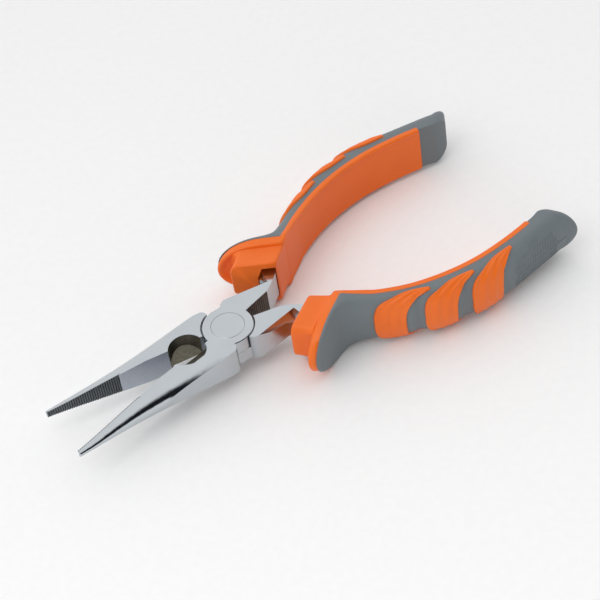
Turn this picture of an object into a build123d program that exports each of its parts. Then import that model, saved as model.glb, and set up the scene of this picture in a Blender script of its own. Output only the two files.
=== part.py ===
from build123d import *
from math import cos, radians, sin
import os

# Needle nose pliers, 200 mm class, in millimetres.
# Origin on the pivot axis at the middle of the joint's thickness, +Z up along the pivot,
# +X towards the nose. Both halves are the same forging: each is drawn closed, with its jaw
# on the +Y side and its handle on the -Y side, and the second one is turned over about X.

# Joint
BOSS_R = 9.4              # round joint plate
BOSS_EDGE = 0.25          # bevel round the plate's rim
SHOULDER_R = 9.9          # concave shoulders that run round the other half's plate
PLATE_H = 5.6             # half of the joint's thickness
RUN = 0.05                # clearance on each side of the joint's sliding faces
RIVET_R = 3.8
RIVET_HEAD_R = 6.2
RIVET_HEAD_H = 1.6
RIVET_EDGE = 0.18         # bevel that leaves a fine ring round the flush head
OPEN_HALF = 8.82          # each half is turned this far from closed at rest

# Jaw
TIP_X = 71.0
TIP_TAPER_X = 69.8        # the last of the nose is rounded off from here
JAW_BACK = 4.3            # where the jaw's shoulder leaves the joint plate
JAW_W = 11.0              # widest, just ahead of the shoulder
JAW_FACE = 0.05           # the closed jaws stop this far from the middle plane
NOSE_SECTIONS = [         # x, half width and crown height of the half-round nose
    (3.0, 17.0, 9.0),
    (20.0, 11.5, 6.9),
    (32.0, 8.3, 5.6),
    (44.0, 5.75, 4.25),
    (58.0, 3.65, 2.5),
    (TIP_X, 1.8, 1.25),
]
TOOTH_PITCH = 0.875
TOOTH_DEPTH = 0.35
TOOTH_COUNT = 32
TOOTH_START = 42.4

# Side cutter
SCOOP_X = 17.2
SCOOP_Y = -2.2
SCOOP_R = 6.6
EDGE_Z = 2.6              # height of the cutting edge, on the joint plate's side of the middle
BEVEL_RISE = 0.72         # the blade thickens by this much each way per mm from the edge
BLADE_ROOT = 9.0          # the blade's wedge is drawn this wide, well past the pocket's wall

# Rear serrated grip between the tangs
REAR_PITCH = 0.95
REAR_DEPTH = 0.5
REAR_COUNT = 11
REAR_START = -10.6

# Tang and the steel core of the handle
TANG_HOLLOW_R = 6.5       # ground hollow along the tang's outer edges
TANG_HOLLOW_AT = (-9.0, -15.2, 9.6)
TANG_HOLLOW_RUN = (-1.0, 0.29, -0.067)
TANG_HOLLOW_LEN = 17.5
CORE_H = 4.0              # half height of the steel inside the grip
CORE_W = 2.3              # half width of the steel inside the grip
CORE_LINE = [(-24.5, -6.8), (-38.0, -14.6), (-52.0, -20.9), (-66.0, -25.3), (-80.0, -26.9),
             (-94.0, -25.6), (-113.0, -20.6)]

# Grip, plan view of one closed half
GRIP_H = 10.0             # half height
SPINE_T = 2.2             # orange wall along the inner face
INNER_FACE = [(-30.5, -6.3), (-39.0, -10.9), (-50.0, -16.1), (-60.0, -19.3), (-70.0, -21.1),
              (-80.0, -21.6), (-90.0, -20.9), (-100.0, -18.9), (-113.0, -15.0)]
HEEL = (-127.0, -12.3)    # inner corner of the grip's end
OUTER_FACE = [(-134.4, -19.4), (-127.0, -22.0), (-110.0, -27.2), (-96.0, -31.0),
              (-82.0, -32.3), (-66.0, -30.4), (-52.0, -25.4), (-42.0, -20.2), (-36.0, -18.6)]
COLLAR_NOSE = (-17.2, -17.0)
COLLAR_SIDE = (-24.9, -23.5)
COLLAR_ROUND = 3.0
OUTER_ROUND = 5.0
END_ROUND = 3.0           # the grip's far end is domed

# Finger guard: an upright oblique plate
GUARD_FOOT = (-39.0, -11.2)
GUARD_TURN = -41.0
GUARD_LEN = 26.3
GUARD_H = 12.7
GUARD_R = 17.0            # length of its half-elliptical outer end
GUARD_RIM = 1.8           # the orange front stands this far ahead of the foot
GUARD_SKIN = 1.4          # and reaches this far behind it
GUARD_BACK = 1.8          # grey behind it

# Ribbed pads on each grip
PAD_RISE = 0.9
PAD_SINK = 1.0
PAD_WALL = 13.0
PADS = {                  # tip, front shoulder, front foot, back foot, back waist
    "front": [(-67.5, -25.0), (-51.0, -24.2), (-46.2, -31.0), (-57.5, -36.0), (-60.5, -28.0)],
    "middle": [(-85.0, -26.4), (-67.5, -28.2), (-62.0, -38.0), (-74.5, -38.0), (-77.5, -30.0)],
    "rear": [(-102.5, -23.4), (-86.0, -28.2), (-80.5, -38.0), (-93.0, -38.0), (-95.5, -28.6)],
}


def step_out(name, part):
    part.label = name
    export_step(part, f"parts/{name}.step")


os.makedirs("parts", exist_ok=True)

# --- Side cutter: a milled pocket with the double-bevelled blade left standing in it --------
with BuildPart() as cutter_pocket:
    with BuildSketch(Plane.XY.offset(-PLATE_H)):
        with Locations((SCOOP_X, SCOOP_Y)):
            Circle(SCOOP_R)
    extrude(amount=2 * PLATE_H)
    with BuildSketch(Plane.YZ):
        with BuildLine():
            Polyline((JAW_FACE, EDGE_Z), (BLADE_ROOT, EDGE_Z + BLADE_ROOT * BEVEL_RISE),
                     (BLADE_ROOT, EDGE_Z - BLADE_ROOT * BEVEL_RISE), close=True)
        make_face()
    extrude(amount=2 * SCOOP_X, mode=Mode.SUBTRACT)

# --- The half-round nose: a smooth loft of half ellipses -----------------------------------
with BuildPart() as nose_form:
    for x, half_width, crown in NOSE_SECTIONS:
        with BuildSketch(Plane.YZ.offset(x)):
            with BuildLine():
                EllipticalCenterArc((0, 0), half_width, crown, start_angle=-90, arc_size=180)
                Line((0, crown), (0, -crown))
            make_face()
    loft()

# --- Jaw -----------------------------------------------------------------------------------
with BuildPart() as jaw_form:
    with BuildSketch(Plane.XY.offset(-PLATE_H)):
        with BuildLine():
            Polyline((TIP_X - 0.6, JAW_FACE), (0, JAW_FACE), (JAW_BACK, BOSS_R - 0.6),
                     (JAW_BACK + 0.5, JAW_W - 0.8), (JAW_BACK + 1.6, JAW_W))
            Spline((JAW_BACK + 1.6, JAW_W), (20, 9.4), (42, 6.35),
                   tangents=((1, 0.02), (1, -0.14)))
            Line((42, 6.35), (TIP_TAPER_X, 2.1))
            Spline((TIP_TAPER_X, 2.1), (TIP_X - 0.1, 1.0), (TIP_X - 0.6, JAW_FACE),
                   tangents=((1, -0.15), (-1, -0.3)))
        make_face()
    extrude(amount=2 * PLATE_H)
    add(nose_form.part, mode=Mode.INTERSECT)
    with BuildSketch(Plane.XY.offset(-PLATE_H)):
        with Locations((TOOTH_START + TOOTH_PITCH * TOOTH_COUNT / 2, JAW_FACE)):
            with GridLocations(TOOTH_PITCH, 0, TOOTH_COUNT, 1):
                Polygon((-0.4, -0.3), (0.4, -0.3), (0, TOOTH_DEPTH), align=None)
    extrude(amount=2 * PLATE_H, mode=Mode.SUBTRACT)
    add(cutter_pocket.part, mode=Mode.SUBTRACT)

# --- Tang: from the joint plate back into the grip, then the steel core --------------------
with BuildPart() as tang_form:
    with BuildSketch(Plane.XY.offset(-PLATE_H)):
        with BuildLine():
            Polyline((0, -JAW_FACE - 0.4), (-9.4, -0.5), (-20.5, -1.5), (-23.5, -2.8),
                     (-28.5, -5.6), (-33.0, -9.8), (-31.5, -13.2), (-24.0, -8.9), (-19.0, -8.3),
                     (-12.0, -9.9), (-6.6, -10.3), (-5.3, -9.8), (-JAW_BACK, 0.6 - BOSS_R),
                     (0, 0.6 - BOSS_R), close=True)
        make_face()
    extrude(amount=2 * PLATE_H)
    with BuildSketch(Plane.XY.offset(-PLATE_H)):
        with Locations((REAR_START - REAR_PITCH * (REAR_COUNT - 1) / 2, -0.9)):
            with Locations(Rotation(0, 0, 5)):
                with GridLocations(REAR_PITCH, 0, REAR_COUNT, 1):
                    Polygon((-0.45, 0.8), (0.45, 0.8), (0, -REAR_DEPTH), align=None)
    extrude(amount=2 * PLATE_H, mode=Mode.SUBTRACT)

with BuildPart() as steel_core:
    with BuildSketch(Plane.XY.offset(-CORE_H)):
        with BuildLine():
            core_line = Spline(*CORE_LINE)
        trace(core_line, line_width=2 * CORE_W)
    extrude(amount=2 * CORE_H)

# The outer edges are hollow-ground between the joint and the grip.
hollow_x, hollow_y, hollow_z = TANG_HOLLOW_AT
run_x, run_y, run_z = TANG_HOLLOW_RUN
with BuildPart() as tang_hollows:
    for side in (1, -1):
        with BuildSketch(Plane(origin=(hollow_x, hollow_y, hollow_z * side),
                               z_dir=(run_x, run_y, run_z * side))):
            Circle(TANG_HOLLOW_R)
        extrude(amount=TANG_HOLLOW_LEN)

# --- One forged half, without its rivet hole -----------------------------------------------
with BuildPart() as half_form:
    add(jaw_form.part)
    add(tang_form.part)
    add(tang_hollows.part, mode=Mode.SUBTRACT)
    with BuildSketch(Plane.XY.offset(-PLATE_H)):
        Circle(SHOULDER_R)
    extrude(amount=PLATE_H + RUN, mode=Mode.SUBTRACT)
    with BuildSketch(Plane.XY.offset(RUN)):
        Circle(BOSS_R)
    extrude(amount=PLATE_H - RUN)
    plate_rim = half_form.edges().filter_by(GeomType.CIRCLE).group_by(Axis.Z)[-1]
    chamfer(plate_rim, BOSS_EDGE)
    add(steel_core.part)


def rivet_room(slack):
    """The space the rivet takes in one plate, with slack all round it."""
    with BuildPart() as room:
        with BuildSketch(Plane.XY.offset(-PLATE_H)):
            Circle(RIVET_R + slack)
        extrude(amount=2 * PLATE_H)
        with BuildSketch(Plane.XY.offset(PLATE_H - RIVET_HEAD_H - slack)):
            Circle(RIVET_HEAD_R + slack)
        extrude(amount=PLATE_H)
    return room.part


# --- Grip: the outside of the whole moulding behind the finger guard ------------------------
def grip_body(grow):
    """The grip's outer form, grown on its top, bottom and outer side, outer edges rounded."""
    outer_points = [(x, y - grow) for x, y in OUTER_FACE]
    with BuildPart() as body:
        with BuildSketch(Plane.XY.offset(-GRIP_H - grow)):
            with BuildLine():
                inner = Spline(*INNER_FACE[1:], HEEL)
                Line(inner @ 1, outer_points[0])
                outer = Spline(*outer_points)
                Line(outer @ 1, inner @ 0)
            make_face()
        extrude(amount=2 * (GRIP_H + grow))
        outer_wall = body.faces().sort_by(Axis.Y)[0]
        fillet(outer_wall.edges().filter_by(GeomType.LINE, reverse=True), OUTER_ROUND + grow)
        end_wall = body.faces().sort_by(Axis.X)[0]
        fillet(end_wall.edges().filter_by(Plane.XY), END_ROUND)
    return body.part


guard_plane = Plane(origin=(*GUARD_FOOT, 0),
                    x_dir=(cos(radians(GUARD_TURN)), sin(radians(GUARD_TURN)), 0),
                    z_dir=(-sin(radians(GUARD_TURN)), cos(radians(GUARD_TURN)), 0))


def guard_plate(front, back):
    """A slice of the finger guard, between two depths behind its foot."""
    with BuildPart() as plate:
        with BuildSketch(guard_plane.offset(-back)):
            with BuildLine():
                Polyline((GUARD_LEN - GUARD_R, GUARD_H), (0, GUARD_H), (0, -GUARD_H),
                         (GUARD_LEN - GUARD_R, -GUARD_H))
                EllipticalCenterArc((GUARD_LEN - GUARD_R, 0), GUARD_R, GUARD_H,
                                    start_angle=-90, arc_size=180)
            make_face()
        extrude(amount=back - front)
    return plate.part


with BuildPart() as collar_form:
    with BuildSketch(Plane.XY.offset(-GRIP_H)):
        with BuildLine():
            Polyline(INNER_FACE[0], COLLAR_NOSE, COLLAR_SIDE, GUARD_FOOT, close=True)
        make_face()
    extrude(amount=2 * GRIP_H)
    side_wall = collar_form.faces().sort_by(Axis.Y)[0]
    fillet(side_wall.edges().filter_by(Axis.Z, reverse=True).filter_by(Plane.XY), COLLAR_ROUND)

with BuildPart() as spine_form:
    with BuildSketch(Plane.XY.offset(-GRIP_H)):
        with BuildLine():
            spine_line = Spline(*INNER_FACE)
        trace(spine_line, line_width=2 * SPINE_T)
    extrude(amount=2 * GRIP_H)
    add(grip_body(0), mode=Mode.INTERSECT)

with BuildPart() as core_form:
    add(collar_form.part)
    add(spine_form.part)
    add(guard_plate(-GUARD_RIM, GUARD_SKIN))
    add(half_form.part, mode=Mode.SUBTRACT)

with BuildPart() as pad_shell:
    add(grip_body(PAD_RISE))
    add(grip_body(-PAD_SINK), mode=Mode.SUBTRACT)

pad_forms = {}
for place, (tip, shoulder, front_foot, back_foot, waist) in PADS.items():
    with BuildPart() as pad:
        with BuildSketch(Plane.XY.offset(-PAD_WALL)):
            with BuildLine():
                Spline(tip, shoulder, front_foot)
                Line(front_foot, back_foot)
                Spline(back_foot, waist, tip)
            make_face()
        extrude(amount=2 * PAD_WALL)
        add(pad_shell.part, mode=Mode.INTERSECT)
    pad_forms[place] = pad.part

with BuildPart() as sleeve_form:
    add(grip_body(0))
    add(guard_plate(GUARD_SKIN, GUARD_SKIN + GUARD_BACK))
    add(core_form.part, mode=Mode.SUBTRACT)
    add(half_form.part, mode=Mode.SUBTRACT)
    for pad in pad_forms.values():
        add(pad, mode=Mode.SUBTRACT)

# --- The two halves, each opened by half of the jaws' angle ---------------------------------
for side, turned_over, slack in (("upper", 0, 0.0), ("lower", 180, RUN)):
    placed = (turned_over, 0, OPEN_HALF)
    with BuildPart() as half:
        add(half_form.part)
        add(rivet_room(slack), mode=Mode.SUBTRACT)
    pieces = {"half": half.part, "grip_core": core_form.part, "grip_sleeve": sleeve_form.part}
    for place, pad in pad_forms.items():
        pieces[f"pad_{place}"] = pad
    for name, piece in pieces.items():
        with BuildPart() as turned:
            add(piece, rotation=placed)
        step_out(f"{side}_{name}", turned.part)

# --- Rivet ----------------------------------------------------------------------------------
with BuildPart() as pivot_rivet:
    with BuildSketch(Plane.XZ):
        with BuildLine():
            Polyline((0, -PLATE_H), (RIVET_HEAD_R - RIVET_EDGE, -PLATE_H),
                     (RIVET_HEAD_R, RIVET_EDGE - PLATE_H), (RIVET_HEAD_R, RIVET_HEAD_H - PLATE_H),
                     (RIVET_R, RIVET_HEAD_H - PLATE_H), (RIVET_R, PLATE_H - RIVET_HEAD_H),
                     (RIVET_HEAD_R, PLATE_H - RIVET_HEAD_H), (RIVET_HEAD_R, PLATE_H - RIVET_EDGE),
                     (RIVET_HEAD_R - RIVET_EDGE, PLATE_H), (0, PLATE_H), close=True)
        make_face()
    revolve(axis=Axis.Z)
step_out("pivot_rivet", pivot_rivet.part)
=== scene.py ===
from math import cos, pi, radians, sin

import bmesh
import bpy
import numpy as np
from mathutils import Matrix, Vector


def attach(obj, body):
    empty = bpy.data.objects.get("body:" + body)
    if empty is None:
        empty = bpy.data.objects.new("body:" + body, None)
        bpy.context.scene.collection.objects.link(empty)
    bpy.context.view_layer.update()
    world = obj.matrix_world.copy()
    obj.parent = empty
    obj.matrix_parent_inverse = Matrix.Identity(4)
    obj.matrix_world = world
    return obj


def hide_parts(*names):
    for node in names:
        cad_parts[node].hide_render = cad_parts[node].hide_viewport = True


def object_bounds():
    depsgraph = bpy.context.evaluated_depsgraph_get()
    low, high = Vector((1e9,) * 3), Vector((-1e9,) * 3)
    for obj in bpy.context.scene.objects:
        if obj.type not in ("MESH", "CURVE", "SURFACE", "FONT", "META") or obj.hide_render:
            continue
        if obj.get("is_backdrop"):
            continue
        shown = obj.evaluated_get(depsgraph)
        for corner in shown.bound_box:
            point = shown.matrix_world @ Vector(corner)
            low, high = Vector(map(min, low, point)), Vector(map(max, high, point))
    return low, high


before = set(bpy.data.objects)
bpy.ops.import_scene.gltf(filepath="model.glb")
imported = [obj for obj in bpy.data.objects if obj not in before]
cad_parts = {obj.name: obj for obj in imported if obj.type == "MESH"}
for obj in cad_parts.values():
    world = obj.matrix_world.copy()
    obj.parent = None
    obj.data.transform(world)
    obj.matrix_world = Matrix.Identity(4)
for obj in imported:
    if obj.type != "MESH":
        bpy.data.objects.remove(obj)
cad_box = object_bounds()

# --- Camera -----------------------------------------------------------------------------------
# A long lens looks down at 47 degrees from the +Y side, a little towards the nose, rolled so
# that the jaws point to the lower left. The pivot's place is given in the view's own axes.
AZIMUTH = radians(152.54)
ELEVATION = radians(46.77)
ROLL = radians(-9.748)
PIVOT_IN_VIEW = Vector((-0.0251, -0.0128, -0.6984))
LENS_MM = 117.12
SENSOR_MM = 36

right = Vector((cos(AZIMUTH), sin(AZIMUTH), 0))
back = Vector((sin(AZIMUTH) * cos(ELEVATION), -cos(AZIMUTH) * cos(ELEVATION), sin(ELEVATION)))
up = back.cross(right)
turned_right = right * cos(ROLL) + up * sin(ROLL)
turned_up = up * cos(ROLL) - right * sin(ROLL)
turn = Matrix((turned_right, turned_up, back)).transposed()
camera_data = bpy.data.cameras.new("camera")
camera_data.lens = LENS_MM
camera_data.sensor_width = SENSOR_MM
camera_data.clip_start = 0.01
camera = bpy.data.objects.new("camera", camera_data)
camera.matrix_world = Matrix.Translation(-(turn @ PIVOT_IN_VIEW)) @ turn.to_4x4()
bpy.context.scene.collection.objects.link(camera)
bpy.context.scene.camera = camera
bpy.context.scene.view_settings.view_transform = "Standard"


# --- Floor ------------------------------------------------------------------------------------
# A sheet of white paper under the tool, which lies on its finger guards. It is matt and
# very slightly mottled, and far wider than the view.
FLOOR_SIZE = 6.0
PAPER_WHITE, PAPER_SHADE = "#f7f7f7", "#f2f2f2"
PAPER_FLECK_MM = 3.0


def linear(hex_colour):
    """An sRGB hex value as a linear colour with full alpha."""
    levels = [int(hex_colour[i:i + 2], 16) / 255 for i in (1, 3, 5)]
    return tuple(c / 12.92 if c <= 0.04045 else ((c + 0.055) / 1.055) ** 2.4
                 for c in levels) + (1.0,)


def node(tree, kind, settings=(), **inputs):
    """Adds a shader or geometry node, sets its properties, and sets or links its inputs."""
    made = tree.nodes.new(kind)
    for name, value in dict(settings).items():
        setattr(made, name, value)
    for name, value in inputs.items():
        key = int(name[1:]) if name[0] == "_" and name[1:].isdigit() else name.replace("_", " ")
        if isinstance(value, bpy.types.NodeSocket):
            tree.links.new(value, made.inputs[key])
        else:
            made.inputs[key].default_value = value
    return made


def new_material(name, **finish):
    """A material with one Principled shader, whose constant finish is set on its own sockets."""
    material = bpy.data.materials.new(name)
    material.use_nodes = True
    shader = material.node_tree.nodes["Principled BSDF"]
    for socket, value in finish.items():
        shader.inputs[socket.replace("_", " ")].default_value = value
    return material, material.node_tree, shader


def blend_tones(tree, shader, patch_mm, detail, one, other):
    """Colours the surface from one tone to the other, in soft patches of this size."""
    place = node(tree, "ShaderNodeTexCoord")
    patches = node(tree, "ShaderNodeTexNoise", Vector=place.outputs["Object"],
                   Scale=1000 / patch_mm, Detail=detail)
    tone = node(tree, "ShaderNodeMix", {"data_type": "RGBA"}, Factor=patches.outputs[0],
                _6=linear(one), _7=linear(other))
    tree.links.new(tone.outputs[2], shader.inputs["Base Color"])


# White paper: matt, with the faint cloudiness of its fibres.
paper, paper_tree, paper_shader = new_material("white_paper", Roughness=0.9)
blend_tones(paper_tree, paper_shader, PAPER_FLECK_MM, 2.0, PAPER_WHITE, PAPER_SHADE)
bpy.ops.mesh.primitive_plane_add(size=FLOOR_SIZE, location=(0, 0, cad_box[0][2]))
floor = bpy.context.object
floor.name = "floor"
floor.data.materials.append(paper)
floor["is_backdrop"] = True

# --- Light ------------------------------------------------------------------------------------
# A white tent lights the tool evenly from all sides, with one soft panel overhead. One side
# of the tent is open part of the way up, and that dark gap puts the long line on the nose.
TENT_WHITE = 1.0
OPENING_SHADE = "#16181c"
OPENING_AIM = 100.0         # degrees round from +X
OPENING_HALF = 58.0
OPENING_LOW = 13.0
OPENING_HIGH = 62.0
SIDE_BLUR, LOW_BLUR, HIGH_BLUR = 14.0, 2.0, 12.0   # how softly the opening's edges fade
PANEL_POWER = 1.0
PANEL_SIZE = 0.5
PANEL_AT = (0.35, 0.1, 0.6)
FILL_POWER = 0.7              # lights the faces that look at the opening, with no reflection
FILL_SIZE = 0.4
FILL_AT = (0.1, 0.7, 0.3)

world = bpy.data.worlds.new("light_tent")
bpy.context.scene.world = world
world.use_nodes = True
sky = world.node_tree
sky.nodes.clear()
look = node(sky, "ShaderNodeTexCoord")
split = node(sky, "ShaderNodeSeparateXYZ", Vector=look.outputs["Generated"])
aim = node(sky, "ShaderNodeVectorMath", {"operation": "DOT_PRODUCT"},
           _0=look.outputs["Generated"],
           _1=(cos(radians(OPENING_AIM)), sin(radians(OPENING_AIM)), 0))
beside = node(sky, "ShaderNodeMapRange", {"interpolation_type": "SMOOTHSTEP"},
              Value=aim.outputs["Value"], From_Min=cos(radians(OPENING_HALF + SIDE_BLUR)),
              From_Max=cos(radians(OPENING_HALF - SIDE_BLUR)))
above = node(sky, "ShaderNodeMapRange", {"interpolation_type": "SMOOTHSTEP"},
             Value=split.outputs["Z"], From_Min=sin(radians(OPENING_LOW - LOW_BLUR)),
             From_Max=sin(radians(OPENING_LOW + LOW_BLUR)))
below = node(sky, "ShaderNodeMapRange", {"interpolation_type": "SMOOTHSTEP"},
             Value=split.outputs["Z"], From_Min=sin(radians(OPENING_HIGH + HIGH_BLUR)),
             From_Max=sin(radians(OPENING_HIGH - HIGH_BLUR)))
band = node(sky, "ShaderNodeMath", {"operation": "MULTIPLY"}, _0=above.outputs["Result"],
            _1=below.outputs["Result"])
opening = node(sky, "ShaderNodeMath", {"operation": "MULTIPLY"}, _0=band.outputs["Value"],
               _1=beside.outputs["Result"])
tent = node(sky, "ShaderNodeMix", {"data_type": "RGBA"}, Factor=opening.outputs["Value"],
            _6=(1.0, 1.0, 1.0, 1.0), _7=linear(OPENING_SHADE))
glow = node(sky, "ShaderNodeBackground", Color=tent.outputs[2], Strength=TENT_WHITE)
node(sky, "ShaderNodeOutputWorld", Surface=glow.outputs["Background"])

for name, power, size, at, mirrored in (
        ("panel", PANEL_POWER, PANEL_SIZE, PANEL_AT, True),
        ("fill", FILL_POWER, FILL_SIZE, FILL_AT, False)):
    lamp_data = bpy.data.lights.new(name, "AREA")
    lamp_data.energy = power
    lamp_data.size = size
    lamp = bpy.data.objects.new(name, lamp_data)
    lamp.location = at
    lamp.rotation_euler = (-Vector(at)).to_track_quat("-Z", "Y").to_euler()
    lamp.visible_glossy = mirrored
    bpy.context.scene.collection.objects.link(lamp)

# --- Forged halves ----------------------------------------------------------------------------
# Each half is one steel forging: half-round nose, joint plate and tang, ground on its flats
# and plated with satin chrome. The teeth and the cutter are cut afterwards and stay darker.
OPEN_HALF = radians(8.82)     # each half stands this far from closed
MM = 0.001
STEEL_CREASE = radians(24)
MERGE = 1e-7                  # points nearer than this, in metres, are one
CHROME, CHROME_DULL = "#c4c9cd", "#b9bfc4"
CHROME_DRIFT_MM = 11.11
POLISH_GRAIN_MM = 0.35
SATIN_ROUGH, POLISHED_ROUGH = 0.27, 0.15  # joint; nose and tangs
POLISH_FROM, POLISH_TO = 8 * MM, 22 * MM
TEETH_FROM, TEETH_TO = 42.3, 70.6       # serrated stretch of the jaw's inner face
GROUND_FROM = 22.5                      # plain ground stretch behind it
CUTTER_AT, CUTTER_R = (17.2, -2.2), 6.62
REAR_FROM, REAR_TO = -21.0, -9.8        # toothed faces between the tangs
TEETH_MOST_Y, GROUND_MOST_Y = 0.45, 0.1
CUTTER_LEAST_Y, REAR_LEAST_Y = 0.06, -2.4
PLATE_HALF = 5.6
PLATE_ROOM = 0.05                       # nearer than this to them, a face is the plate's own
STEEP = 0.5                             # a rear tooth's face turns less than this towards Z

# Where a half that is drawn closed, jaw to +Y and handle to -Y, stands on each side.
STANDS = {
    "upper": Matrix.Rotation(OPEN_HALF, 4, "Z"),
    "lower": Matrix.Rotation(-OPEN_HALF, 4, "Z") @ Matrix.Rotation(pi, 4, "X"),
}


def roughen(tree, shader, grain_mm, detail, strength, depth_mm):
    """Puts a fine grain of this size in relief on the surface."""
    place = node(tree, "ShaderNodeTexCoord")
    grain = node(tree, "ShaderNodeTexNoise", Vector=place.outputs["Object"],
                 Scale=1000 / grain_mm, Detail=detail)
    relief = node(tree, "ShaderNodeBump", Height=grain.outputs[0], Strength=strength,
                  Distance=depth_mm * MM)
    tree.links.new(relief.outputs[0], shader.inputs["Normal"])


# Satin chrome plate: hazy on the joint and brighter on the nose and tangs, where it is buffed.
chrome, chrome_tree, chrome_shader = new_material("satin_chrome_plate", Metallic=1.0)
blend_tones(chrome_tree, chrome_shader, CHROME_DRIFT_MM, 2.0, CHROME, CHROME_DULL)
roughen(chrome_tree, chrome_shader, POLISH_GRAIN_MM, 3.0, 0.06, 0.05)
place = node(chrome_tree, "ShaderNodeTexCoord")
along_tool = node(chrome_tree, "ShaderNodeSeparateXYZ", Vector=place.outputs["Object"])
from_joint = node(chrome_tree, "ShaderNodeMath", {"operation": "ABSOLUTE"},
                  _0=along_tool.outputs["X"])
haze = node(chrome_tree, "ShaderNodeMapRange", Value=from_joint.outputs["Value"],
            From_Min=POLISH_FROM, From_Max=POLISH_TO, To_Min=SATIN_ROUGH, To_Max=POLISHED_ROUGH)
chrome_tree.links.new(haze.outputs[0], chrome_shader.inputs["Roughness"])


def worked_steel(name, light, dark, streak_mm, rough):
    """Cut and unplated steel: patches left by the cutter between a light and a dark tone."""
    steel, tree, shader = new_material(name, Metallic=1.0, Roughness=rough)
    blend_tones(tree, shader, streak_mm, 4.0, dark, light)
    roughen(tree, shader, streak_mm, 4.0, 0.3, 0.05)
    return steel


# Broached teeth are bare and dark. The ground face is pale and flat. The milled hollow of the
# cutter is bare steel with a brownish cast.
teeth_steel = worked_steel("broached_teeth", "#85898d", "#484b4e", 0.5, 0.42)
ground_steel = worked_steel("ground_jaw_face", "#c2c8d2", "#aab0ba", 0.8, 0.36)
milled_steel = worked_steel("milled_cutter", "#8a8678", "#5c584e", 1.2, 0.4)
rear_steel = worked_steel("broached_rear_grip", "#8a8178", "#332d29", 0.6, 0.45)
FINISHES = (chrome, teeth_steel, ground_steel, milled_steel, rear_steel)


def finish_mesh(name, mesh, crease, body, slot, *nodes):
    """Links a mesh as a smooth-shaded piece that rides on a body and stands for its nodes."""
    mesh.shade_smooth()
    mesh.set_sharp_from_angle(angle=crease)
    piece = bpy.data.objects.new(name, mesh)
    bpy.context.scene.collection.objects.link(piece)
    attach(piece, body)
    if nodes:
        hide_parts(*nodes)
    return piece


def merged(node_name):
    """A working copy of a CAD mesh, with its loose triangles joined."""
    shape = bmesh.new()
    shape.from_mesh(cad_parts[node_name].data)
    bmesh.ops.remove_doubles(shape, verts=shape.verts, dist=MERGE)
    return shape


def as_mesh(name, shape, *finishes):
    """The shape as a mesh with these materials; the shape is used up."""
    mesh = bpy.data.meshes.new(name)
    shape.to_mesh(mesh)
    shape.free()
    if "custom_normal" in mesh.attributes:
        mesh.attributes.remove(mesh.attributes["custom_normal"])
    for finish in finishes:
        mesh.materials.append(finish)
    return mesh


def finish_of(point, facing):
    """Which finish a face of the closed half has, from its middle in mm and its direction."""
    x, y, z = point
    in_cutter = (x - CUTTER_AT[0]) ** 2 + (y - CUTTER_AT[1]) ** 2 < CUTTER_R ** 2
    if TEETH_FROM < x < TEETH_TO and y < TEETH_MOST_Y:
        return teeth_steel
    if GROUND_FROM < x <= TEETH_FROM and y < GROUND_MOST_Y:
        return ground_steel
    if in_cutter and y > CUTTER_LEAST_Y and abs(z) < PLATE_HALF - PLATE_ROOM:
        return milled_steel
    if REAR_FROM < x < REAR_TO and y > REAR_LEAST_Y and abs(facing.z) < STEEP:
        return rear_steel
    return chrome


for body, stand in STANDS.items():
    shape = merged(f"{body}_half")
    closed = stand.inverted()
    for face in shape.faces:
        finish = finish_of((closed @ face.calc_center_median()) / MM,
                           closed.to_3x3() @ face.normal)
        face.material_index = FINISHES.index(finish)
    forging = as_mesh(f"{body}_forging", shape, *FINISHES)
    finish_mesh(f"{body}_forging", forging, STEEL_CREASE, body, "chromed_steel", f"{body}_half")

# --- Rivet ------------------------------------------------------------------------------------
# The rivet is plain steel. It is headed over in the upper plate, ground flush with it and
# plated with it, so only a fine ring shows.
rivet = as_mesh("flush_rivet", merged("pivot_rivet"), chrome)
finish_mesh("flush_rivet", rivet, STEEL_CREASE, "upper", "chromed_rivet", "pivot_rivet")

# --- Grip form --------------------------------------------------------------------------------
# Every piece of a grip follows one run of sections, drawn on the closed half: the inner edge,
# the outer edge, half the height, the flat part of the top and the roundness of the outside.
# The two grips are a left and a right one, so the side that is up is known by UP.
UP = {"upper": 1, "lower": -1}
GUARD_FOOT = np.array((-39.0, -11.2))
GUARD_ALONG = np.array((cos(radians(-41)), sin(radians(-41))))
GUARD_AHEAD = np.array((-GUARD_ALONG[1], GUARD_ALONG[0]))
GUARD_LEN = 25.6
GUARD_HALF = 11.9
GUARD_EAR, GUARD_EAR_LEN = 0.9, 5.0   # its corners beside the spine stand out, over a length
GUARD_ROUND = 17.0            # length of its elliptical outer end
SKIN = 1.4                    # orange front of the guard
# Points on each stretch of a section, from the middle of the inner face to the outside.
FACE_POINTS, EDGE_POINTS, FLAT_POINTS, ROUND_POINTS, BACK_POINTS = 10, 5, 6, 15, 4


def behind_guard(along, behind):
    """A point so far along the guard and so far behind its front face."""
    return GUARD_FOOT + along * GUARD_ALONG - behind * GUARD_AHEAD


# Flare behind the guard: advance along the inner face, then along and behind for the outer
# edge, half height, flat top, roundness.
FLARE = [
    (1.5, 25.7, 1.4, 12.00, 9.0, 2.0),
    (2.1, 25.3, 1.9, 12.05, 8.8, 2.0),
    (2.7, 22.9, 2.3, 12.00, 8.0, 2.0),
    (3.3, 18.2, 2.7, 11.90, 6.6, 2.0),
    (4.1, 13.8, 3.2, 11.75, 5.2, 2.1),
    (5.1, 10.2, 4.0, 11.55, 4.2, 2.1),
    (6.4, 7.6, 5.4, 11.35, 3.3, 2.2),
    (8.1, 5.6, 7.4, 11.10, 2.9, 2.2),
    (10.0, 4.1, 9.8, 10.85, 2.7, 2.2),
    (12.1, 2.6, 12.3, 10.55, 2.7, 2.2),
]
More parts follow.
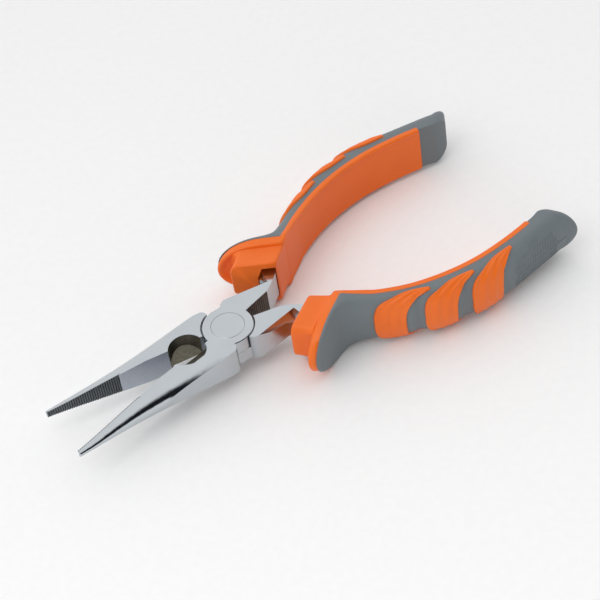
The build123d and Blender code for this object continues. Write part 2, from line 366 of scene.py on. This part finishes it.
# Handle: inner x, y, outer x, y, half height, flat top, roundness.
HANDLE = [
    (-56.5, -18.3, -53.0, -25.4, 10.15, 2.9, 2.3),
    (-63.0, -20.0, -61.0, -28.6, 10.0, 3.4, 2.3),
    (-70.0, -21.1, -69.2, -30.7, 10.0, 4.0, 2.3),
    (-80.0, -21.6, -80.2, -31.9, 10.0, 4.4, 2.2),
    (-90.0, -20.9, -91.4, -31.2, 10.0, 4.3, 2.1),
    (-100.0, -18.9, -102.6, -28.7, 10.0, 4.0, 2.1),
    (-108.0, -16.7, -111.6, -25.9, 10.0, 3.8, 2.0),
    (-113.0, -15.05, -118.0, -24.0, 10.0, 3.8, 2.0),
    (-116.0, -14.0, -122.2, -22.6, 10.0, 4.0, 2.0),
    (-118.8, -12.6, -126.4, -21.3, 10.0, 4.2, 2.0),
]
INNER_RUN = np.array((-0.9135, -0.407))   # direction of the inner face as it leaves the guard
rows = [(*(GUARD_FOOT + advance * INNER_RUN), *behind_guard(along, behind), *rest)
        for advance, along, behind, *rest in FLARE] + HANDLE


def read_between(table, at, slope, wanted):
    """The table's columns at these places, on a smooth curve through its rows."""
    i = np.clip(np.searchsorted(at, wanted, side="right") - 1, 0, len(at) - 2)
    gap = (at[i + 1] - at[i])[:, None]
    k = (wanted - at[i])[:, None] / gap
    return ((1 + 2 * k) * (1 - k) ** 2 * table[i] + k * (1 - k) ** 2 * gap * slope[i]
            + k * k * (3 - 2 * k) * table[i + 1] + k * k * (k - 1) * gap * slope[i + 1])


def rows_at(wanted):
    """Sections at these shares of the grip's run."""
    table = np.array(rows, float)
    steps = np.diff(table[:, :4], axis=0).reshape(-1, 2, 2)
    at = np.r_[0, np.cumsum(np.linalg.norm(steps, axis=2).max(axis=1))]
    slope = np.gradient(table, at, axis=0)
    return read_between(table, at, slope, np.clip(np.atleast_1d(wanted), 0, 1) * at[-1])


def section(inner, outward, low, high, half, edge, round_run, round_rise, power):
    """A closed section: square towards the hand gap with a rounded edge, rounded outside."""
    quarter = np.linspace(0, pi / 2, EDGE_POINTS)
    wide = np.linspace(pi / 2, 0, ROUND_POINTS)
    depth = np.concatenate((
        np.full(FACE_POINTS, low),
        low + edge * (1 - np.cos(quarter)),
        np.linspace(low + edge, high - round_run, FLAT_POINTS + 2)[1:-1],
        high - round_run + round_run * np.cos(wide) ** (2 / power),
        np.full(BACK_POINTS, high)))
    height = np.concatenate((
        (half - edge) * np.sin(np.linspace(0, pi / 2, FACE_POINTS + 1))[:-1],
        half - edge + edge * np.sin(quarter),
        np.full(FLAT_POINTS, half),
        half - round_rise + round_rise * np.sin(wide) ** (2 / power),
        np.linspace(half - round_rise, 0, BACK_POINTS + 1)[1:]))
    depth = np.concatenate((depth, depth[-2:0:-1]))
    height = np.concatenate((height, -height[-2:0:-1]))
    plan = inner + depth[:, None] * outward
    return np.column_stack((plan, height))


def outward_of(row):
    """How deep a row's section is, and its direction away from the hand gap."""
    reach = row[2:4] - row[0:2]
    return np.linalg.norm(reach), reach / np.linalg.norm(reach)


def lofted(rings, stand):
    """A closed shell through a run of rings, drawn on the closed half and stood in place."""
    shape = bmesh.new()
    loops = [[shape.verts.new(stand @ (Vector(point) * MM)) for point in ring] for ring in rings]
    size = len(loops[0])
    for one, two in zip(loops, loops[1:]):
        for i in range(size):
            j = (i + 1) % size
            shape.faces.new((one[i], one[j], two[j], two[i]))
    shape.faces.new(loops[0][::-1])
    shape.faces.new(loops[-1])
    bmesh.ops.remove_doubles(shape, verts=shape.verts, dist=MERGE)
    bmesh.ops.recalc_face_normals(shape, faces=shape.faces)
    return shape


# --- Orange core ------------------------------------------------------------------------------
# The hard orange plastic is moulded first, straight onto the tang: a collar, the front of the
# finger guard and the flat spine that faces the other handle.
ORANGE, ORANGE_DEEP = "#ee721f", "#e8660f"
ORANGE_FLOW_MM = 16.67
ORANGE_GRAIN_MM = 0.6
MOULD_CREASE = radians(40)
SECTIONS = 170                # along the whole grip
SPINE_DEPTH = 2.2
SPINE_PROUD = 0.15
SPINE_EDGE = 0.75
SPINE_END = -113.0
SPINE_DISH = 0.35             # the spine's face lies this much below its rim
SPINE_RIM = 1.3
SPINE_BLEND = 8.0             # rim and dish fade out over this length towards the guard
SPINE_NOSE = 0.9              # its end is rounded off over this length,
SPINE_STEPS = 6               # in this many steps
SPINE_SHRINK = (0.7, 0.8, 1.2)   # and draws in by these: face, back and height
SPINE_BACK_EDGE = 0.45
SPINE_TUCK = 0.3              # its first section is this much lower, inside the guard
# The guard's front is dished inside its rounded rim: depth behind the foot, inset of the edge.
GUARD_RIM = [(-0.8, 3.6), (-0.95, 2.9), (-1.4, 2.1), (-1.75, 1.5), (-1.8, 1.0), (-1.7, 0.6),
             (-1.4, 0.22), (-0.9, 0), (SKIN, 0), (SKIN + 0.5, 0.6)]
GUARD_EDGE = 1.2
COLLAR_HALF = 9.9
COLLAR_DEPTH = 18.8
COLLAR_LIP, COLLAR_LIP_UP = 2.0, 0.3   # its front edge flares by these, outwards and in height
COLLAR_LIP_FROM, COLLAR_LIP_CURVE = 4.0, 1.6
COLLAR_EDGE = 0.9
COLLAR_ROUND = 3.0
COLLAR_FRONT = 10.0           # how far its front face stands ahead of the guard's foot
COLLAR_RUN = 0.345            # its inner face leans away by this much per mm ahead
COLLAR_FILLET = 1.7
COLLAR_FILLET_RUN = (0.8, 3.2)   # it dies out between these, ahead of the foot
COLLAR_FRONT_EDGE, COLLAR_FRONT_ROUND = 0.8, 0.9   # length and roundness of its front edge
COLLAR_WITHIN = 1.8           # its corner stays this far inside the guard's rim
# Its sections, ahead of the foot: close together where the fillet and the front edge turn.
COLLAR_STATIONS = (-1.0, 0.8, 1.1, 1.5, 2.0, 2.6, 3.2, 4.5, 6, 7.2, 8.2, 9, 9.5, 9.8,
                   COLLAR_FRONT)
COLLAR_UNDERCUT = 24.0        # below, along plus height stays within this
# Pocket for the tang, as half outlines in along and height: at its mouth and its bottom.
POCKET = {10.6: [(3.9, 7.7), (9.2, 7.7), (11.2, 3.0)],
          6.5: [(3.8, 6.0), (8.4, 6.0), (9.4, 2.0)]}

# Hard moulded plastic: an even warm orange with a soft gloss and a trace of mould grain.
orange, orange_tree, orange_shader = new_material(
    "moulded_orange_plastic", Roughness=0.4, IOR=1.49, Specular_IOR_Level=0.4)
blend_tones(orange_tree, orange_shader, ORANGE_FLOW_MM, 2.0, ORANGE, ORANGE_DEEP)
roughen(orange_tree, orange_shader, ORANGE_GRAIN_MM, 2.0, 0.12, 0.05)

sections = rows_at(np.linspace(0, 1, SECTIONS))


def spine_ring(inner, outward, half, shrink, share):
    """One section of the spine, whose face is dished inside a raised rim."""
    proud = SPINE_PROUD * share
    face_in, back_in, height_in = (by * shrink for by in SPINE_SHRINK)
    ring = section(inner, outward, face_in - proud, SPINE_DEPTH - back_in,
                   half + proud - height_in, SPINE_EDGE * (1 - 0.5 * shrink),
                   SPINE_BACK_EDGE, SPINE_BACK_EDGE, 2)
    in_from_rim = np.clip((half - SPINE_EDGE - np.abs(ring[:, 2])) / SPINE_RIM, 0, 1)
    on_face = (ring[:, :2] - inner) @ outward < SPINE_SHRINK[0] * shrink
    dish = SPINE_DISH * share * (1 - shrink) * in_from_rim ** 2 * (3 - 2 * in_from_rim)
    ring[:, :2] += (dish * on_face)[:, None] * outward
    return ring


def spine_rings():
    """The spine from inside the guard to its rounded end."""
    start = sections[0, 0:2]
    rings = [spine_ring(GUARD_FOOT, outward_of(sections[0])[1], sections[0, 4] - SPINE_TUCK, 0, 0)]
    for row in sections[sections[:, 0] > SPINE_END]:
        outward = outward_of(row)[1]
        share = min(1, np.linalg.norm(row[0:2] - start) / SPINE_BLEND)
        rings.append(spine_ring(row[0:2], outward, row[4], 0, share))
    away = np.array((outward[1], -outward[0]))
    for turned in np.linspace(0.15, 1, SPINE_STEPS) * pi / 2:
        rings.append(spine_ring(row[0:2] + SPINE_NOSE * sin(turned) * away, outward, row[4],
                                1 - cos(turned), 1))
    return rings


def guard_rings():
    """The guard's orange front, rounded over its rim."""
    rings = []
    for behind, inset in GUARD_RIM:
        foot = GUARD_FOOT - behind * GUARD_AHEAD + behind * (INNER_RUN @ GUARD_ALONG) * GUARD_ALONG
        ring = section(foot, GUARD_ALONG, inset, GUARD_LEN - inset, GUARD_HALF - inset,
                       GUARD_EDGE, GUARD_ROUND - inset, GUARD_HALF - inset, 2)
        along = (ring[:, :2] - foot) @ GUARD_ALONG
        ear = np.abs(ring[:, 2] / GUARD_HALF) ** 8 * np.clip(1 - along / GUARD_EAR_LEN, 0, 1)
        ring[:, :2] -= GUARD_EAR * ear[:, None] * GUARD_ALONG
        rings.append(ring)
    return rings


def collar_rings(up):
    """The collar, drawn with this side of the closed half upwards."""
    rings = []
    low, high = COLLAR_FILLET_RUN
    for ahead in COLLAR_STATIONS:
        fillet = COLLAR_FILLET * (1 - np.clip((ahead - low) / (high - low), 0, 1)) ** 2
        lip = max(0, (ahead - COLLAR_LIP_FROM) / (COLLAR_FRONT - COLLAR_LIP_FROM))
        lip = lip ** COLLAR_LIP_CURVE
        inset = max(0, ahead - COLLAR_FRONT + COLLAR_FRONT_EDGE) ** 2 * COLLAR_FRONT_ROUND
        ring = section(np.zeros(2), np.array((1.0, 0.0)), inset,
                       COLLAR_DEPTH + COLLAR_LIP * lip + fillet - inset,
                       COLLAR_HALF + COLLAR_LIP_UP * lip + fillet - inset, COLLAR_EDGE,
                       COLLAR_ROUND, COLLAR_ROUND, 2)
        below = ring[:, 2] * up < 0
        reach = COLLAR_UNDERCUT + fillet - inset - np.abs(ring[:, 2])
        ring[:, 0] = np.where(below, np.minimum(ring[:, 0], reach), ring[:, 0])
        past = np.clip((ring[:, 0] - GUARD_LEN + GUARD_ROUND) / GUARD_ROUND, 0, 1)
        tallest = (GUARD_HALF - COLLAR_WITHIN) * np.sqrt(1 - past ** 2) + max(0, ahead - 1) ** 2
        ring[:, 2] = np.clip(ring[:, 2], -tallest, tallest)
        lean = COLLAR_RUN * ahead * np.clip(1 - ring[:, 0] / COLLAR_DEPTH, 0, 1)
        plan = GUARD_FOOT + (ring[:, 0] + lean)[:, None] * GUARD_ALONG + ahead * GUARD_AHEAD
        rings.append(np.column_stack((plan, ring[:, 2])))
    return rings


def as_object(name, shape):
    """A work object that holds the shape until it is used up."""
    held = bpy.data.objects.new(name, as_mesh(name, shape))
    bpy.context.scene.collection.objects.link(held)
    return held


def settled(held):
    """The object's mesh with its modifiers carried out; the work object is removed."""
    graph = bpy.context.evaluated_depsgraph_get()
    mesh = bpy.data.meshes.new_from_object(held.evaluated_get(graph), depsgraph=graph)
    bpy.data.objects.remove(held)
    return mesh


def pocketed_collar(stand, up):
    """The collar with the funnelled pocket that the tang goes into."""
    mouth_rings = []
    for ahead, half_outline in POCKET.items():
        outline = half_outline + [(along, -height) for along, height in half_outline[::-1]]
        mouth_rings.append([(*(GUARD_FOOT + along * GUARD_ALONG + ahead * GUARD_AHEAD), height)
                            for along, height in outline])
    collar = as_object("collar", lofted(collar_rings(up), stand))
    mouth = as_object("mouth", lofted(mouth_rings, stand))
    cut = collar.modifiers.new("pocket", "BOOLEAN")
    cut.operation = "DIFFERENCE"
    cut.solver = "EXACT"
    cut.object = mouth
    mesh = settled(collar)
    bpy.data.objects.remove(mouth)
    return mesh


for body, stand in STANDS.items():
    whole = bmesh.new()
    for mesh in (pocketed_collar(stand, UP[body]),
                 as_mesh("spine", lofted(spine_rings(), stand)),
                 as_mesh("guard", lofted(guard_rings(), stand))):
        whole.from_mesh(mesh)
        bpy.data.meshes.remove(mesh)
    core = as_mesh(f"{body}_orange_core", whole, orange)
    finish_mesh(f"{body}_orange_core", core, MOULD_CREASE, body, "orange_plastic",
                f"{body}_grip_core")

# --- Grey overmould ---------------------------------------------------------------------------
# Soft grey elastomer is moulded over the core: it backs the guard, wraps the outside of the
# handle and closes its domed end.
GREY, GREY_DEEP = "#71797d", "#697175"
GREY_CLOUD_MM = 14.29
GREY_GRAIN_MM = 0.5
END_DOME = 6.6
DOME_STEPS = 9
DOME_SHRINK = (1.2, 2.0, 5.0, 1.5)   # its last ring draws in: inside, outside, height, round
DOME_INSIDE, DOME_EDGE = 0.2, 0.6
TIP_REACH = 8.0               # mm per unit of girth on the flat top, where girth is below 0
SLEEVE_INSIDE = 0.6           # it starts this deep, behind the spine's face
SLEEVE_EDGE = 0.3
VALLEY_FADE = 2               # a valley has its full depth by 1/2 of the way out from the flat
# Shallow valleys between the pads: share of the run, width as a share, depth.
VALLEYS = ((0.412, 0.021, 0.75), (0.576, 0.021, 0.75), (0.716, 0.008, 0.25))

# Soft-touch elastomer: matt, with a fine even grain that breaks up every highlight.
grey, grey_tree, grey_shader = new_material("grey_soft_overmould", Roughness=0.55, IOR=1.45)
blend_tones(grey_tree, grey_shader, GREY_CLOUD_MM, 2.0, GREY, GREY_DEEP)
roughen(grey_tree, grey_shader, GREY_GRAIN_MM, 3.0, 0.25, 0.06)


def valley(run):
    """How deep the valleys are at this share of the run."""
    return sum(deep * np.exp(-((run - at) / width) ** 2) for at, width, deep in VALLEYS)


def outside_point(run, girth, side):
    """A point of the sleeve at a share of its run. Girth goes from 0 at the end of the flat
    top to 1 at the middle of the outside; side is 1 above and -1 below."""
    row = rows_at(run)[0]
    depth, outward = outward_of(row)
    around = (1 - max(girth, 0)) * pi / 2
    rounding = depth - row[5]
    across = row[5] + rounding * max(cos(around), 0) ** (2 / row[6])
    across += TIP_REACH * min(girth, 0)
    plan = row[0:2] + (across - valley(run) * min(1, max(girth, 0) * VALLEY_FADE)) * outward
    return np.array((*plan, side * row[4] * sin(around) ** (2 / row[6])))


def sleeve_rings():
    """The overmould from the guard's back to its domed end."""
    rings = []
    for run, row in zip(np.linspace(0, 1, len(sections)), sections):
        depth, outward = outward_of(row)
        ring = section(row[0:2], outward, SLEEVE_INSIDE, depth, row[4], SLEEVE_EDGE,
                       depth - row[5], row[4], row[6])
        across = (ring[:, :2] - row[0:2]) @ outward
        share = np.clip((across - row[5]) / (depth - row[5]) * VALLEY_FADE, 0, 1)
        ring[:, :2] -= (valley(run) * share)[:, None] * outward
        rings.append(ring)
    for turned in np.linspace(0.12, 1, DOME_STEPS) * pi / 2:
        inside, outside, lower, rounder = ((1 - cos(turned)) * by for by in DOME_SHRINK)
        rings.append(section(row[0:2] + np.array((-END_DOME * sin(turned), 0.0)), outward,
                             DOME_INSIDE + inside, depth - outside, row[4] - lower, DOME_EDGE,
                             depth - row[5] - rounder, row[4] - lower, row[6]))
    return rings


for body, stand in STANDS.items():
    sleeve = as_mesh(f"{body}_grey_overmould", lofted(sleeve_rings(), stand), grey)
    finish_mesh(f"{body}_grey_overmould", sleeve, MOULD_CREASE, body, "grey_overmould",
                f"{body}_grip_sleeve")

# --- Ribbed pads ------------------------------------------------------------------------------
# Three lands of the orange plastic stand up through windows in the grey, one behind another
# like shingles. Each wraps the outside from a narrow tip above to one below, with three flutes.
PAD_RUNS = {"front": (0.459, 0.260, 0.364), "middle": (0.621, 0.426, 0.533),
            "rear": (0.787, 0.589, 0.704)}   # shares of the run: tip, front edge, back edge
# From the tip to the middle of the outside: how far each edge has come to its own place along
# the run, and its girth.
PAD_FRONT = [(-0.03, 0.03), (0.15, 0.02), (0.45, 0.06), (0.70, 0.24), (0.88, 0.41),
             (0.965, 0.60), (1.0, 0.82), (1.0, 1.0)]
PAD_BACK = [(-0.03, 0.16), (0.10, 0.19), (0.33, 0.29), (0.58, 0.42), (0.78, 0.56),
            (0.92, 0.72), (0.985, 0.88), (1.0, 1.0)]
PAD_BACK_BELOW = [(-0.03, 0.10), (0.20, 0.08), (0.55, 0.12), (0.84, 0.29), (0.95, 0.46),
                  (0.985, 0.65), (1.0, 0.85), (1.0, 1.0)]
PAD_STEPS = np.array([0, 0.12, 0.3, 0.48, 0.62, 0.75, 0.87, 1.0])
PAD_ACROSS = 37               # points
PAD_DOWN = 65
PAD_CREASE = radians(50)
PAD_SUNK = 0.9                # its underside lies this deep in the grey,
PAD_TUCK = 0.25               # and the foot of its wall this deep
PAD_STEP_UP = 1.15            # its front edge stands this far out of the grey
PAD_STEP_DOWN = 0.8           # its back edge
PAD_TIP_RISE = 0.8
PAD_EDGE = 0.5                # its wall rounds over within this width
PAD_CROWD = 1.15              # above 1, its points stand closer together half of the way down
PAD_RISE_BY, FLUTE_FULL_BY = 1 / 2, 1 / 2.6   # shares of the way down from a tip
FLUTES = 3
FLUTE_DEPTH = 0.33
FLUTE_CURVE = 1.4             # above 1, the ridges between the flutes are broader


def eased(table, way):
    """Share of the way to its place, and girth, of a pad's edge this far down from its tip."""
    table = np.array(table)
    slope = np.gradient(table, PAD_STEPS, axis=0)
    slope[-1] = 0
    return read_between(table, PAD_STEPS, slope, np.array([way]))[0]


def pad_shape(tip, front, back, stand, up):
    """A pad: a sheet of points on the sleeve, raised into flutes above and closed below."""
    down = np.linspace(-1, 1, PAD_DOWN)
    shares = (1 - np.cos(np.linspace(0, pi, PAD_ACROSS))) / 2
    base = np.zeros((PAD_DOWN, PAD_ACROSS, 3))
    for i, level in enumerate(down):
        way = 1 - abs(level) ** PAD_CROWD
        lead, lead_girth = eased(PAD_FRONT, way)
        trail, trail_girth = eased(PAD_BACK_BELOW if level > 0 else PAD_BACK, way)
        lead_run = tip + (front - tip) * lead
        trail_run = tip + (back - tip) * trail
        for j, share in enumerate(shares):
            base[i, j] = outside_point(lead_run + (trail_run - lead_run) * share,
                                       lead_girth + (trail_girth - lead_girth) * share,
                                       up if level <= 0 else -up)
    normal = np.cross(np.gradient(base, axis=1), np.gradient(base, axis=0))
    normal /= np.linalg.norm(normal, axis=2, keepdims=True) + 1e-9
    if normal[PAD_DOWN // 2, :, 1].mean() > 0:
        normal = -normal
    way = 1 - np.abs(down)[:, None]
    across = np.linalg.norm(base[:, -1] - base[:, 0], axis=1)[:, None]
    to_edge = np.minimum(shares, 1 - shares)[None, :] * across
    centre = base[:, PAD_ACROSS // 2]
    from_tip = np.minimum(np.linalg.norm(centre - centre[0], axis=1),
                          np.linalg.norm(centre - centre[-1], axis=1))[:, None]
    inside = np.clip(np.minimum(to_edge, from_tip) / PAD_EDGE, 0, 1)
    wall = np.sqrt(1 - (1 - inside) ** 2)
    full = PAD_STEP_UP + (PAD_STEP_DOWN - PAD_STEP_UP) * shares[None, :]
    rise = PAD_TIP_RISE + (full - PAD_TIP_RISE) * np.clip(way / PAD_RISE_BY, 0, 1)
    flute = FLUTE_DEPTH * np.abs(np.sin(FLUTES * pi * shares))[None, :] ** FLUTE_CURVE
    height = (rise - flute * np.clip(way / FLUTE_FULL_BY, 0, 1)) * wall - PAD_TUCK * (1 - wall)
    top = base + normal * height[:, :, None]
    bottom = base - normal * PAD_SUNK
    shape = bmesh.new()
    upper, lower = [[[shape.verts.new(stand @ (Vector(point) * MM)) for point in line]
                     for line in sheet] for sheet in (top, bottom)]
    for grid, flip in ((upper, 1), (lower, -1)):
        for i in range(PAD_DOWN - 1):
            for j in range(PAD_ACROSS - 1):
                shape.faces.new((grid[i][j], grid[i][j + 1], grid[i + 1][j + 1],
                                 grid[i + 1][j])[::flip])
    rim = ([(i, 0) for i in range(PAD_DOWN)] + [(PAD_DOWN - 1, j) for j in range(1, PAD_ACROSS)]
           + [(i, PAD_ACROSS - 1) for i in range(PAD_DOWN - 2, -1, -1)]
           + [(0, j) for j in range(PAD_ACROSS - 2, 0, -1)])
    for (i, j), (k, m) in zip(rim, rim[1:] + rim[:1]):
        shape.faces.new((upper[i][j], upper[k][m], lower[k][m], lower[i][j]))
    bmesh.ops.recalc_face_normals(shape, faces=shape.faces)
    return shape


for body, stand in STANDS.items():
    for place, (tip, front, back) in PAD_RUNS.items():
        name = f"{body}_pad_{place}_ribbed"
        pad = as_mesh(name, pad_shape(tip, front, back, stand, UP[body]), orange)
        finish_mesh(name, pad, PAD_CREASE, body, "orange_pads", f"{body}_pad_{place}")

# --- Grip texture -----------------------------------------------------------------------------
# The end of the grey is moulded with a patch of short raised strokes in staggered rows, for
# the heel of the hand. A faint parting line of the mould runs from it over the end.
STROKE_RUN = (0.765, 0.965)
STROKES_ALONG = 17
STROKE_ROWS = 6
STROKE_FIRST, STROKE_ROW_STEP, STROKE_LONG = 0.40, 0.17, 0.13   # in girth
STROKE_BEND = 0.003           # in shares of the run
STROKE_SLANT = 0.006
STROKE_LIMIT, STROKE_CORNER = 0.38, 0.25   # the patch's top corners are rounded off
STROKE_POINTS = 7
RIB_CREASE = radians(60)
STROKE_RADIUS = 0.2 * MM
STROKE_STRAY = 0.0006         # each stroke strays by about this share of the run
STROKE_SEED = 4
SEAM_RUN = (0.90, 1.0)        # the mould's parting line shows here
SEAM_POINTS = 9


def around_point(run, around, up):
    """A point of the sleeve with its girth counted on from 1 to 2 below."""
    return outside_point(run, min(around, 2 - around), up if around <= 1 else -up)


def stroke_lines(stand, up):
    """Short bent lines that lie on the sleeve in staggered rows, and the parting line."""
    lines = [[around_point(run, 1.0, up) for run in np.linspace(*SEAM_RUN, SEAM_POINTS)]]
    pitch = (STROKE_RUN[1] - STROKE_RUN[0]) / STROKES_ALONG
    stray = np.random.default_rng(STROKE_SEED)
    for row in range(STROKE_ROWS):
        top = STROKE_FIRST + STROKE_ROW_STEP * row
        for i in range(STROKES_ALONG):
            run = STROKE_RUN[0] + pitch * (i + (row % 2) / 2) + stray.normal(0, STROKE_STRAY)
            edge = min(1, abs(2 * (run - STROKE_RUN[0]) / (STROKE_RUN[1] - STROKE_RUN[0]) - 1))
            if top < STROKE_LIMIT + STROKE_CORNER * edge ** 2:
                continue
            steps = np.linspace(0, 1, STROKE_POINTS)
            lines.append([around_point(run + STROKE_BEND * sin(pi * k) - STROKE_SLANT * k,
                                       top + STROKE_LONG * k, up) for k in steps])
    shape = bmesh.new()
    for line in lines:
        verts = [shape.verts.new(stand @ (Vector(point) * MM)) for point in line]
        for one, two in zip(verts, verts[1:]):
            shape.edges.new((one, two))
    return shape


def rib_tree():
    """Turns each line of its input into a round rib."""
    tree = bpy.data.node_groups.new("moulded_ribs", "GeometryNodeTree")
    tree.interface.new_socket("Lines", in_out="INPUT", socket_type="NodeSocketGeometry")
    tree.interface.new_socket("Rib Radius", in_out="INPUT", socket_type="NodeSocketFloat")
    tree.interface.new_socket("Finish", in_out="INPUT", socket_type="NodeSocketMaterial")
    tree.interface.new_socket("Ribs", in_out="OUTPUT", socket_type="NodeSocketGeometry")
    given = node(tree, "NodeGroupInput")
    line = node(tree, "GeometryNodeMeshToCurve", Mesh=given.outputs["Lines"])
    ring = node(tree, "GeometryNodeCurvePrimitiveCircle", Resolution=6,
                Radius=given.outputs["Rib Radius"])
    swept = node(tree, "GeometryNodeCurveToMesh", Curve=line.outputs[0],
                 Profile_Curve=ring.outputs[0], Fill_Caps=True)
    real = node(tree, "GeometryNodeRealizeInstances", Geometry=swept.outputs[0])
    coated = node(tree, "GeometryNodeSetMaterial", Geometry=real.outputs[0],
                  Material=given.outputs["Finish"])
    node(tree, "NodeGroupOutput", _0=coated.outputs[0])
    return tree


ribs_tree = rib_tree()
rib_inputs = {item.name: item.identifier for item in ribs_tree.interface.items_tree
              if item.in_out == "INPUT"}
for body, stand in STANDS.items():
    lines = as_object("stroke_lines", stroke_lines(stand, UP[body]))
    sweep = lines.modifiers.new("ribs", "NODES")
    sweep.node_group = ribs_tree
    sweep[rib_inputs["Rib Radius"]] = STROKE_RADIUS
    sweep[rib_inputs["Finish"]] = grey
    texture = settled(lines)
    finish_mesh(f"{body}_grip_texture", texture, RIB_CREASE, body, "grey_overmould")

# The tool lies on its finger guards, so the paper is at their lowest point.
floor.location.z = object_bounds()[0][2]
